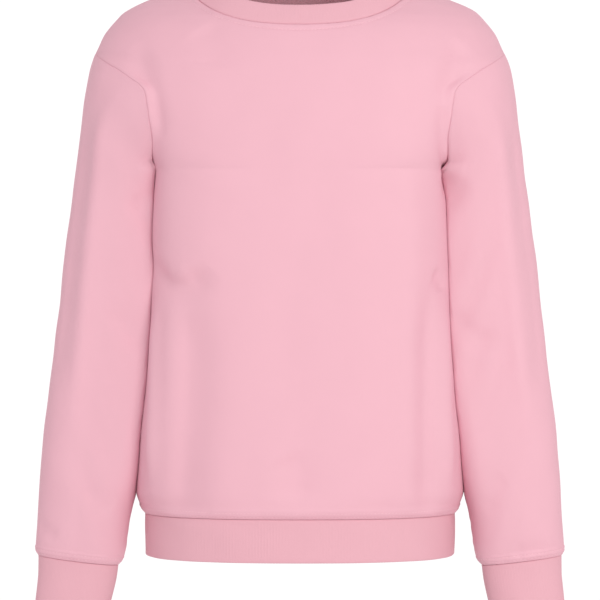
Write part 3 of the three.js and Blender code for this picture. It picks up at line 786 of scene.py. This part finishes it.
def sleeve(name, mirror, foldRows, seed):
    along = gradedPlaces(arms["length"], seamStep, 2.6)
    shares = gradedPlaces(arms["girth"], seamStep, clothStep)
    dense = np.linspace(half, half + full, 721)     # the sleeve's own seam runs down its inner side
    turn = evenly(sleevePoint, along, dense, shares)
    along = np.broadcast_to(along[:, None], turn.shape)
    base = sleevePoint(along, turn)
    outward = gridOutward(base, 1)
    around, down = wayAlong(base, 1), wayAlong(base, 0)
    fromSeam = np.minimum(around, around[:, -1:] - around)
    fromArm, fromCuff = down, down[-1:] - down

    seamSide = unit(outward[:, :1] + outward[:, -1:])
    direction = turnTowards(outward, seamSide, fromSeam)
    direction = turnTowards(direction, armholeDirection(turn[0])[None], fromArm)
    direction = turnTowards(direction, unit(outward[-1:] * [1, 1, 0]), fromCuff)

    onSleeve = lambda a, t: sleevePoint(a, np.radians(t))
    folds = [(foldPath(onSleeve, np.array([arms["length"], 1.3]), f), *f[5:]) for f in foldRows]
    fadeOver = arms["foldsFromSeam"]
    seamFade = smooth(fromArm / fadeOver) * smooth(fromCuff / fadeOver) * smooth(fromSeam / fadeOver)
    u, v = around - around[:, -1:] / 2, down
    push = foldPush(base, outward, folds) * seamFade
    push -= arms["unevenness"] * softWaves(u, v, arms["unevenLength"], seed) * seamFade
    push += seamRoll(fromSeam) * arms["ownSeamRoll"] + seamRoll(fromArm) + seamRoll(fromCuff)
    push += pucker(fromArm, u, seed + 1) + pucker(fromCuff, u, seed + 2) + pucker(fromSeam, v, seed + 3)
    push += groove(fromCuff, seams["stitchRows"], seams["stitchGroove"]) - tucked(fromCuff)
    outer = restOnBody(base - direction * push[..., None], mirror)
    inner = outer - direction * size["fleece"]
    piece = shell(name, outer, inner, np.stack([u, v], axis=-1), mirror, [fleeceFace, fleeceBack])
    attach(piece, "root")
    flip = [mirror, 1, 1]
    return piece, outer * flip, {"direction": direction * flip, "fromArm": fromArm, "fromCuff": fromCuff}


sleeves, sleeveWays = {}, {}
for sideName, mirror in (("left", 1), ("right", -1)):
    piece, surface, ways = sleeve(f"sleeve_{sideName}_cloth", mirror, sleeveFolds[sideName], 40 + mirror)
    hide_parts(f"sleeve_{sideName}")
    sleeves[sideName], sleeveWays[sideName] = surface, ways
    print("sleeve", sideName, len(piece.data.polygons))


# the rib knit bands

ribs = {
    "height": 0.06,
    "points": (0, 0.68, 0.95, 1, 0.95, 0.68),    # one rib across, as shares of its height
    "foldRounding": 1.2,
    "neckBow": 0.5,             # how far the neckband bellies out
    "unevenness": 0.3,          # of the ribs' height, and the length of that
    "unevenLength": 40,
    "waves": 0.3,               # soft waves of the whole band
    "waveLength": 45,
    "hemHeight": 39.7,
    "neckHeight": 20.5,
    "cuffHeight": 47,
}


def evenTurns(point, perRib):
    dense = np.linspace(0, full, 1441)
    way = wayAlong(point(np.zeros(1441), dense)[None], 1)[0]
    count = round(way[-1] / size["ribPitch"]) * perRib
    return np.interp(np.arange(count) / count * way[-1], way, dense), way[-1]


def ribBand(name, point, sign, mirror, length, startDirection=None, rows=11, bow=0.0, seed=0):
    # a folded tube of rib knit: down its face, round the fold at its open edge and up its back
    turn, girth = evenTurns(point, len(ribs["points"]))
    count = len(turn)
    r = ribs["foldRounding"]
    nearSeam = np.array([0, 0.35, 0.75, 1.2, 1.8, 2.8, 4])
    face = np.concatenate([nearSeam, np.linspace(4, length - r, rows)[1:]])
    bend = np.linspace(0, half, 7)[1:-1]
    downFace = np.concatenate([face, length - r + r * np.sin(bend), face[::-1]])
    inward = np.concatenate([face * 0, r - r * np.cos(bend), face * 0 + size["rib"]])
    facing = np.concatenate([face * 0 + 1, np.cos(bend), face * 0 - 1])
    spread = np.concatenate([face * 0, np.sin(bend), face * 0])
    share, turns = np.broadcast_arrays((downFace / length)[:, None], turn[None])
    base = point(share, turns)
    outward = outwardOf(point, np.clip(share, 0, 0.98), turns, (0, 1), 0.02, sign)
    down = unit(point(np.minimum(share + 0.02, 1), turns) - point(np.maximum(share - 0.02, 0), turns))
    start = unit(outward * [1, 1, 0]) if startDirection is None else startDirection(turns)
    outward = turnTowards(outward, start, downFace[:, None] + 0 * turns)
    wave = np.tile(ribs["points"], count // len(ribs["points"]))
    aroundIt = np.arange(count) * girth / count
    uneven = 1 + ribs["unevenness"] * softWaves(aroundIt, 0.0, ribs["unevenLength"], seed)
    raised = ribs["height"] * wave * uneven * smooth(0.25 + downFace / 3)[:, None]
    belly = bow * np.sin(half * share) * (1 - 0.2 * inward[:, None])
    waves = ribs["waves"] * softWaves(aroundIt[None], downFace[:, None], ribs["waveLength"], seed + 1)
    rolled = seamRoll(downFace) * (inward < r)
    lift = belly + waves * smooth(downFace / 8)[:, None] + raised * facing[:, None]
    lift = lift - (inward + rolled)[:, None]
    points = base + outward * lift[..., None] + down * (raised * spread[:, None])[..., None]
    rowCount = len(downFace)
    faces = gridFaces(rowCount, count, closed=True)
    lastRow = (rowCount - 1) * count + np.arange(count)
    firstRow = np.arange(count)
    closing = np.stack([lastRow, np.roll(lastRow, -1), np.roll(firstRow, -1), firstRow], axis=-1)
    faces = np.concatenate([faces, closing])
    way = np.concatenate([[0], np.cumsum(np.hypot(np.diff(downFace), np.diff(inward)))])
    step = girth / count
    corner = np.arange(count) * step
    across = np.stack([corner, corner + step, corner + step, corner], -1)
    ends = [*way[1:], way[-1] + size["rib"]]
    quads = [np.stack([across, np.broadcast_to([a, a, b, b], (count, 4))], -1) for a, b in zip(way, ends)]
    uvs = np.concatenate(quads)
    if mirror * sign < 0:
        faces, uvs = faces[:, ::-1], uvs[:, ::-1]
    piece = meshOf(name, points * [mirror, 1, 1], faces, uvs, [ribKnit])
    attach(piece, "root")
    return piece


hem = ribBand("hem_band_cloth", hemPoint, -1, 1, ribs["hemHeight"], rows=13, seed=60)
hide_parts("hem_band")
neckband = ribBand("neckband_cloth", neckbandPoint, -1, 1, ribs["neckHeight"], neckDirection, rows=7,
                   bow=ribs["neckBow"], seed=63)
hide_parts("neckband")
for sideName, mirror in (("left", 1), ("right", -1)):
    cuff = ribBand(f"cuff_{sideName}_cloth", cuffPoint, -1, mirror, ribs["cuffHeight"], rows=14,
                   seed=66 + mirror)
    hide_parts(f"cuff_{sideName}")
print("rib bands", len(hem.data.polygons), len(neckband.data.polygons), len(cuff.data.polygons))


# sewing: the stitch rows that show, and the overlocked edges of the seams inside

sewing = {
    "stitchLength": 2.5,
    "threadRadius": 0.24,
    "sunk": 0.1,            # how far a stitch is pulled into the cloth
    "rise": 0.16,           # how far its middle stands up again
    "tapeReach": 3,         # half the width of an overlocked edge
    "tapeThickness": 1.3,
    "tapeOff": 0.15,        # how far it lies off the cloth's inside
    "tapeStep": 6,
}


def lineAlong(surface, direction, distance, value):
    # the line across a grid at a given distance from one of its edges
    points, ways = [], []
    for c in range(surface.shape[1]):
        d = distance[:, c]
        order = np.argsort(d)
        points.append([np.interp(value, d[order], surface[order, c, k]) for k in range(3)])
        ways.append([np.interp(value, d[order], direction[order, c, k]) for k in range(3)])
    return np.array(points), unit(np.array(ways))


def atEvenSteps(points, ways, step):
    length = np.insert(np.cumsum(np.linalg.norm(np.diff(points, axis=0), axis=1)), 0, 0)
    places = np.arange(0.0, length[-1], length[-1] / max(round(length[-1] / step), 1))
    read = lambda values: np.stack([np.interp(places, length, values[:, k]) for k in range(3)], axis=-1)
    return read(points), unit(read(ways))


def stitches(lines):
    # short rounded lengths of thread that lie end to end along each line
    ends = np.array([0, 0.12, 0.5, 0.88, 1])
    radii = np.array([0.02, 0.75, 1, 0.75, 0.02]) * sewing["threadRadius"]
    turns = np.arange(6) / 6 * full
    points, faces = [], []
    for line, ways in lines:
        at, out = atEvenSteps(line, ways, seams["stitchPitch"])
        along = unit(np.roll(at, -1, axis=0) - at)
        along[-1] = along[-2]
        across = unit(np.cross(along, out))
        for p, a, o, w in zip(at, along, out, across):
            ring = np.cos(turns)[:, None] * o + np.sin(turns)[:, None] * w
            rise = -sewing["sunk"] + sewing["rise"] * np.sin(half * ends)
            body = p + (ends * sewing["stitchLength"])[:, None, None] * a + rise[:, None, None] * o
            faces.append(gridFaces(5, 6, first=30 * len(points), closed=True))
            points.append(body + radii[:, None, None] * ring)
    points, faces = np.concatenate(points).reshape(-1, 3), np.concatenate(faces)
    uvs = np.tile([[0, 0], [0.4, 0], [0.4, 0.6], [0, 0.6]], (len(faces), 1))
    return meshOf("stitching", points, faces, uvs, [thread])


def tapes(lines):
    # the overlocked edges of each seam, laid flat on the cloth's inside
    reach, thick = sewing["tapeReach"], sewing["tapeThickness"]
    wide, long = 1.5, sewing["tapeStep"]            # one face of it
    outline = [(-1, 0.35), (-0.8, 0.9), (0, 1), (0.8, 0.9), (1, 0.35), (0.9, 0), (0, -0.1), (-0.9, 0)]
    outline = np.array(outline) * [reach, thick]
    points, faces, uvs, first = [], [], [], 0
    for line, ways in lines:
        at, inward = atEvenSteps(line, ways, sewing["tapeStep"])
        across = unit(np.cross(np.gradient(at, axis=0), inward))
        count = len(at)
        body = at[:, None] + outline[None, :, :1] * across[:, None] + outline[None, :, 1:] * inward[:, None]
        points.append(body.reshape(-1, 3))
        faces.append(gridFaces(count, 8, first=first, closed=True))
        along = np.arange(count) * long
        a, c = np.meshgrid(along[:-1], np.arange(8) * wide, indexing="ij")
        corners = [(c, a), (c + wide, a), (c + wide, a + long), (c, a + long)]
        uvs.append(np.stack([np.stack(corner, -1) for corner in corners], axis=2).reshape(-1, 2))
        first += count * 8
    return meshOf("seam_allowances", np.concatenate(points), np.concatenate(faces), np.concatenate(uvs),
                  [fleeceBack])


stitchLines = []
tapeLines = []
depth = size["fleece"] + sewing["tapeOff"]
for surface, ways in ((frontSurface, frontWays), (backSurface, backWays)):
    for row in seams["stitchRows"]:
        stitchLines.append(lineAlong(surface, ways["direction"], ways["fromHem"], row))
    stitchLines.append(lineAlong(surface, ways["direction"], ways["fromNeck"], seams["neckStitchAt"]))
    inside = surface - ways["direction"] * depth
    tapeLines += [(inside[row], -ways["direction"][row]) for row in (0, -1)]
for sideName in ("left", "right"):
    surface, ways = sleeves[sideName], sleeveWays[sideName]
    for row in seams["stitchRows"]:
        stitchLines.append(lineAlong(surface, ways["direction"], ways["fromCuff"], row))
    inside = surface - ways["direction"] * depth
    tapeLines += [(inside[0], -ways["direction"][0]), (inside[-1], -ways["direction"][-1]),
                  (inside[:, 0], -ways["direction"][:, 0])]
for column in (0, -1):
    inside = frontSurface[:, column] - frontWays["direction"][:, column] * depth
    atSide = np.arange(len(inside)) < len(panelRows()[0])
    tapeLines.append((inside[atSide], -frontWays["direction"][atSide, column]))
    atShoulder = frontSurface[:, column, 2] > size["shoulderPoint"]
    tapeLines.append((inside[atShoulder], -frontWays["direction"][atShoulder, column]))
stitching = stitches(stitchLines)
allowances = tapes(tapeLines)
for piece in (stitching, allowances):
    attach(piece, "root")
print("sewing", len(stitching.data.polygons), len(allowances.data.polygons))

# camera, light and floor

studio = {
    "cameraAway": 2.5,
    "cameraHeight": -0.298,
    "lens": 157.9,
    "surround": (1.0, 0.985, 0.985),
    "fill": 0.77,               # how bright the white room is on the cloth
    "seen": 1.06,               # and to the camera, which sees it as plain white
    "keyAt": (1.15, -2.2, 0.2),
    "keyAim": (0, 0, -0.3),
    "keySize": 1.1,
    "keyPower": 25,
    "keyColour": (1.0, 0.99, 0.93),
    "sideAt": (-1.9, -1.5, 0.1),
    "sideSize": 1.3,
    "sidePower": 5.5,
    "floorHeight": -1.0,
    "floorColour": "#ece9e8",
    "floorRoughness": 0.8,
    "floorReach": 1.6,
}


def placed(name, data, at, aim):
    thing = bpy.data.objects.new(name, data)
    bpy.context.collection.objects.link(thing)
    thing.location = at
    thing.rotation_euler = (Vector(aim) - Vector(at)).to_track_quat("-Z", "Y").to_euler()
    return thing


cameraData = bpy.data.cameras.new("camera")
cameraData.lens = studio["lens"]
cameraAt = (0, -studio["cameraAway"], studio["cameraHeight"])
bpy.context.scene.camera = placed("camera", cameraData, cameraAt, (0, 0, studio["cameraHeight"]))


def softBox(name, at, wide, power, colour):
    box = bpy.data.lights.new(name, "AREA")
    box.size = wide
    box.energy = power
    box.color = colour
    placed(name, box, at, studio["keyAim"])


softBox("soft box", studio["keyAt"], studio["keySize"], studio["keyPower"], studio["keyColour"])
softBox("side soft box", studio["sideAt"], studio["sideSize"], studio["sidePower"], studio["surround"])

world = bpy.data.worlds.new("white studio")
bpy.context.scene.world = world
world.use_nodes = True
room = world.node_tree.nodes["Background"]
room.inputs["Color"].default_value = (*studio["surround"], 1)
seen = add(world.node_tree, "LightPath", {}).outputs["Is Camera Ray"]
strength = add(world.node_tree, "Math", {0: seen, 1: studio["seen"] - studio["fill"], 2: studio["fill"]},
               operation="MULTIPLY_ADD")
world.node_tree.links.new(strength.outputs[0], room.inputs["Strength"])
bpy.context.scene.view_settings.view_transform = "Standard"

floorMesh = bpy.data.meshes.new("floor")
reach = studio["floorReach"]
corners = ((-reach, -reach), (reach, -reach), (reach, reach), (-reach, reach))
floorMesh.from_pydata([(x, y, studio["floorHeight"]) for x, y in corners], [], [(0, 1, 2, 3)])
floor = bpy.data.objects.new("floor", floorMesh)
bpy.context.collection.objects.link(floor)
floorPaint = bpy.data.materials.new("matt studio floor")
floorPaint.use_nodes = True
paint = floorPaint.node_tree.nodes["Principled BSDF"]
paint.inputs["Base Color"].default_value = linear(studio["floorColour"])
paint.inputs["Roughness"].default_value = studio["floorRoughness"]
floorMesh.materials.append(floorPaint)
floor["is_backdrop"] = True

boxes["visual"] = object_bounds()
boxes = {name: [[float(value) for value in corner] for corner in box] for name, box in boxes.items()}
